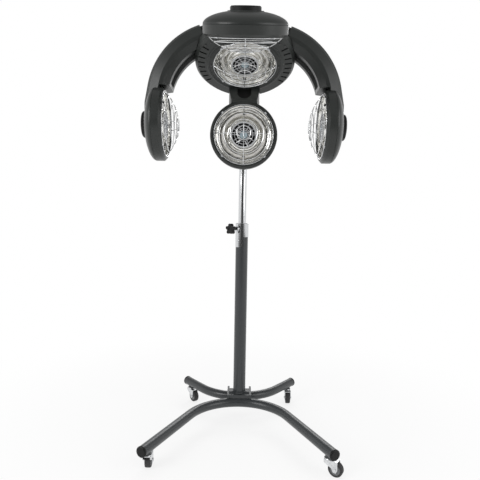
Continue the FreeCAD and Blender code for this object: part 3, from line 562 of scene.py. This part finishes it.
def wire_bow(bm, centre, radius, reach, across, wire_r, steps=40, sides=8):
    """Wire over a dome, that far to either side of its top in one direction, both ends closed."""
    axis = UP.cross(across)
    first_end = centre + radius * (math.cos(reach) * UP - math.sin(reach) * across)
    along = math.cos(reach) * across + math.sin(reach) * UP
    spun_wire(bm, turned_to(first_end, along, axis), wire_r, sides, centre, axis, 2 * reach, steps)


def rod(bm, start, end, radius, sides, turn=Matrix()):
    start, end = Vector(start), Vector(end)
    along = end - start
    place = Matrix.Translation((start + end) / 2) @ along.to_track_quat("Z", "Y").to_matrix().to_4x4()
    bmesh.ops.create_cone(
        bm, cap_ends=True, segments=sides, radius1=radius, radius2=radius, depth=along.length,
        matrix=turn @ place,
    )


def block(bm, low, high, turn=Matrix()):
    low, high = Vector(low), Vector(high)
    place = Matrix.Translation((high + low) / 2) @ Matrix.Diagonal((*(high - low), 1.0))
    bmesh.ops.create_cube(bm, size=1.0, matrix=turn @ place)


# --- heads -----------------------------------------------------------------

def head_place(name):
    """A head's frame: origin in the middle of its seam, +Z the way it faces."""
    joint = JOINTS[name + "_fan_spin"]
    origin, facing = Vector(joint["pos_m"]), Vector(joint["axis"])
    if name == "centre":
        origin -= facing * RIM_H
    return turned_to(origin, facing, HEAD_UP[name])


def guard_wire(name, place):
    """Domed wire guard: a base ring, four rings and two crossing bows on a sphere."""
    sphere_r = (GUARD_BASE_R ** 2 + GUARD_RISE ** 2) / (2 * GUARD_RISE)
    centre = Vector((0, 0, RIM_H + GUARD_RISE - sphere_r))
    reach = math.asin((GUARD_BASE_R - BASE_WIRE_R) / sphere_r)
    bm = bmesh.new()
    wire_ring(bm, GUARD_BASE_R, RIM_H + BASE_WIRE_R, BASE_WIRE_R, steps=96)
    for angle in map(math.radians, GUARD_RING_DEGREES):
        radius, height = sphere_r * math.sin(angle), centre.z + sphere_r * math.cos(angle)
        wire_ring(bm, radius, height, THIN_WIRE_R, steps=72, sides=6)
    for across in (Vector((1, 0, 0)), Vector((0, 1, 0))):
        wire_bow(bm, centre, sphere_r, reach, across, THIN_WIRE_R)
    bm.transform(place)
    finished(name + "_guard_wire", bm, MATERIALS["guard_wire"], name + "_guard", smooth_degrees=50)


def guard_tabs(name, place):
    """The guard's four tabs, between the arms of the bows' cross, each with a screw head."""
    bm = bmesh.new()
    for i in range(TAB_COUNT):
        turn = Matrix.Rotation((i + 0.5) * FULL_TURN / TAB_COUNT, 4, "Z")
        block(bm, (TAB_IN_R, -TAB_HALF_W, RIM_H), (TAB_OUT_R, TAB_HALF_W, RIM_H + TAB_T), turn)
        low, top = ((SCREW_AT_R, 0, RIM_H + rise) for rise in (SCREW_HEAD_LOW, SCREW_HEAD_TOP))
        rod(bm, low, top, SCREW_HEAD_R, sides=16, turn=turn)
    bm.transform(place)
    finished(name + "_guard_tabs", bm, GRILLE_CHROME, name + "_guard", smooth_degrees=40)


def floor_bead(radius):
    """Ring bead on the reflector's floor, in the reflector's millimetres."""
    return [
        (radius + FLOOR_BEAD_FOOT, 0.0), (radius + FLOOR_BEAD_CREST, FLOOR_BEAD_H),
        (radius - FLOOR_BEAD_CREST, FLOOR_BEAD_H), (radius - FLOOR_BEAD_FOOT, 0.0),
    ]


def reflector(name, place):
    """Pressed ring trough with extra ring beads between its steps."""
    beads = [point for radius in FLOOR_BEAD_RADII for point in floor_bead(radius)]
    profile = REFLECTOR_OUTER_STEPS + beads + REFLECTOR_INNER_STEPS + REFLECTOR_BACK[::-1]
    bm = bmesh.new()
    lathe(bm, [(radius / MM_PER_M, height / MM_PER_M) for radius, height in profile], steps=128)
    bm.transform(place)
    finished(name + "_reflector_sheet", bm, MATERIALS["reflector"], name + "_reflector", smooth_degrees=28)


def lamp_tube(name, place):
    bm = bmesh.new()
    wire_ring(bm, LAMP_R, LAMP_Z, LAMP_TUBE_R, steps=96, sides=20)
    bm.transform(place)
    finished(name + "_lamp_tube", bm, MATERIALS["lamp"], name + "_lamp", smooth_degrees=60)


def lamp_holders(name, place):
    """Two ceramic blocks that carry the lamp tube."""
    bm = bmesh.new()
    for y in (-LAMP_R, LAMP_R):
        low = (-HOLDER_HALF_W, y - HOLDER_HALF_D, HOLDER_FOOT)
        block(bm, low, (HOLDER_HALF_W, y + HOLDER_HALF_D, LAMP_Z + HOLDER_ABOVE))
    bm.transform(place)
    soften(finished(name + "_lamp_holders", bm, CERAMIC, name + "_lamp", smooth_degrees=30), HOLDER_EDGE)


def lamp_posts(name, place):
    """Black terminal posts on the holders: sleeve, hexagon nut and the stud's end."""
    bm = bmesh.new()
    for y in (-LAMP_R, LAMP_R):
        for low, top, radius, sides in (POST_SLEEVE, POST_NUT, POST_STUD):
            rod(bm, (0, y, LAMP_Z + low), (0, y, LAMP_Z + top), radius, sides)
    bm.transform(place)
    finished(name + "_lamp_posts", bm, BLACK_MOULDING, name + "_lamp", smooth_degrees=40)


def fan(name, place):
    """Black fan with a pale glossy hub behind bright grille bars."""
    into_head = place.inverted()

    def on_grille(point):
        return (into_head @ point).z > GRILLE_Z - GRILLE_SLACK

    def on_hub(point):
        local = into_head @ point
        return math.hypot(local.x, local.y) < FAN_HUB_R + FAN_HUB_SLACK

    refined(name + "_fan_frame", FAN_EDGE, GRILLE_CHROME, on_grille)
    refined(name + "_fan_impeller", FAN_EDGE, HUB_GLOSS, on_hub)


def recess_floor_y(height):
    """Where the recess's floor lies at a height, below or above its bend."""
    foot, bend, head = RECESS_FLOOR
    (low, low_y), (top, top_y) = (foot, bend) if height < bend[0] else (bend, head)
    return low_y + (height - low) * (top_y - low_y) / (top - low)


def arm_recess_painted_shade(point):
    """Floor and sides of the recess in the front of the lower arm, painted black as painted shade for the
    recess's depth.
    """
    inside = abs(point.x) < RECESS_HALF_W and RECESS_LOW < point.z < RECESS_TOP
    return inside and -RECESS_WALL < point.y - recess_floor_y(point.z) < RECESS_SLACK


def head(name):
    """One head; the centre head's housings are among the other parts."""
    place = head_place(name)
    guard_wire(name, place)
    guard_tabs(name, place)
    reflector(name, place)
    lamp_tube(name, place)
    lamp_holders(name, place)
    lamp_posts(name, place)
    fan(name, place)
    if name == "bottom":
        # the lower arm's recess gets black moulding: painted shade standing in for the depth of the recess
        refined("bottom_shell", SHELL_EDGE, BLACK_MOULDING, arm_recess_painted_shade)
    elif name != "centre":
        refined(name + "_shell", SHELL_EDGE)
    if name != "centre":
        refined(name + "_cap", CAP_EDGE)


# --- casters ---------------------------------------------------------------

def wheel_profile(outline):
    """An outline from one side to the wheel's middle, carried on in mirror image to the other side."""
    side = [(radius, WHEEL_W / 2 - depth) for radius, depth in outline]
    return side + [(radius, -height) for radius, height in reversed(side)]


def caster(name):
    """Dark tyre round a grey centre with a recessed web, on its own fork."""
    joint = JOINTS[name + "_roll"]
    place = turned_to(joint["pos_m"], joint["axis"], UP)
    for piece, outline, steps, material in (
        ("_tyre", TYRE_OUTLINE, 64, MATERIALS["wheel_rubber"]),
        ("_wheel_centre", WEB_OUTLINE, 48, WHEEL_GREY),
    ):
        bm = bmesh.new()
        lathe(bm, wheel_profile(outline), steps)
        bm.transform(place)
        finished(name + piece, bm, material, name + "_caster_wheel", smooth_degrees=30)
    refined(name + "_caster_fork", FORK_EDGE)


# --- studio ----------------------------------------------------------------

def camera():
    data = bpy.data.cameras.new("view")
    data.sensor_width = SENSOR_MM
    data.lens = SENSOR_MM * CAMERA_FOCAL / FRAME_WIDTH
    data.shift_x = CAMERA_SHIFT
    data.clip_end = CAMERA_REACH
    eye = bpy.data.objects.new("view", data)
    eye.location = (0.0, CAMERA_Y, CAMERA_Z)
    level = Matrix.Rotation(math.radians(90.0 - CAMERA_DOWN), 4, "X")
    roll = Matrix.Rotation(math.radians(CAMERA_ROLL), 4, "Z")
    eye.rotation_euler = (level @ roll).to_euler()
    bpy.context.scene.collection.objects.link(eye)
    bpy.context.scene.camera = eye


def lamp_panel(name, place, target, width, height, watts):
    """Soft rectangular light that faces its target."""
    data = bpy.data.lights.new(name, "AREA")
    data.shape = "RECTANGLE"
    data.size = width
    data.size_y = height
    data.energy = watts
    panel = bpy.data.objects.new(name, data)
    panel.location = place
    panel.rotation_euler = (Vector(target) - Vector(place)).to_track_quat("-Z", "Y").to_euler()
    bpy.context.scene.collection.objects.link(panel)


def backdrop_mask(graph):
    """1 for camera, glossy and transmission rays, 0 for light that falls on the object."""
    return graph.ray_is("Camera").or_more(graph.ray_is("Glossy")).or_more(graph.ray_is("Transmission"))


def seen_level(graph, reflected):
    """1 for the eye, and the given level for reflections."""
    return graph.ray_is("Camera").or_more(reflected)


def world():
    """White backdrop for the eye, a dark room behind the camera for reflections, soft even light."""
    sky = bpy.data.worlds.new("studio")
    bpy.context.scene.world = sky
    graph = Graph(sky)
    direction = graph.place("Generated")
    room = graph.axis(direction, "Y").across(WORLD_ROOM, (ROOM_LEVEL, 1.0))
    ceiling = graph.axis(direction, "Z").across(WORLD_CEILING, (1.0, CEILING_LEVEL))
    seen_inputs = {"Color": WHITE, "Strength": seen_level(graph, room * ceiling)}
    seen = graph.value("ShaderNodeBackground", 0, inputs=seen_inputs)
    cast = graph.value("ShaderNodeBackground", 0, inputs={"Color": WHITE, "Strength": SKY_LEVEL})
    mix = graph.value("ShaderNodeMixShader", 0, inputs={0: backdrop_mask(graph), 1: cast, 2: seen})
    graph.add("ShaderNodeOutputWorld", inputs={0: mix})


def floor():
    """White floor that fades into the backdrop away from the object and keeps its soft shadow."""
    material = bpy.data.materials.new("studio_floor")
    graph = Graph(material)
    place = graph.place()
    room = graph.axis(place, "Y").across(FLOOR_ROOM, (ROOM_LEVEL, 1.0))
    distance = graph.value("ShaderNodeVectorMath", "Value", {"operation": "LENGTH"}, {0: place})
    fade = distance.across(FLOOR_FADE, (FLOOR_GLOW, 1.0), "SMOOTHSTEP")
    diffuse = graph.value("ShaderNodeBsdfDiffuse", 0, inputs={"Color": FLOOR_COLOUR})
    glow = graph.value("ShaderNodeEmission", 0, inputs={"Strength": seen_level(graph, room)})
    mix = graph.value("ShaderNodeMixShader", 0, inputs={0: backdrop_mask(graph) * fade, 1: diffuse, 2: glow})
    graph.add("ShaderNodeOutputMaterial", inputs={"Surface": mix})
    bm = bmesh.new()
    bmesh.ops.create_grid(bm, x_segments=1, y_segments=1, size=FLOOR_SIZE)
    mesh = bpy.data.meshes.new("studio_floor")
    bm.to_mesh(mesh)
    bm.free()
    mesh.materials.append(material)
    ground = bpy.data.objects.new("studio_floor", mesh)
    bpy.context.scene.collection.objects.link(ground)


for name in HEAD_UP:
    head(name)
for corner in ("front_left", "front_right", "rear_left", "rear_right"):
    caster(corner)
for node, edge in EDGE_OF.items():
    refined(node, edge, smooth_degrees=CREASE_DEGREES if node in CREASED_NODES else ROUND_DEGREES)

camera()
world()
floor()
lamp_panel("key", (-2.4, -2.2, 1.9), HEADS_MIDDLE, width=1.6, height=1.6, watts=40.0)
lamp_panel("fill", (2.3, -1.8, 1.7), HEADS_MIDDLE, width=1.8, height=1.8, watts=22.0)
lamp_panel("rim", (0.4, 2.4, 2.2), POLE_TOP, width=1.6, height=1.0, watts=20.0)

bpy.context.scene.view_settings.view_transform = "Standard"
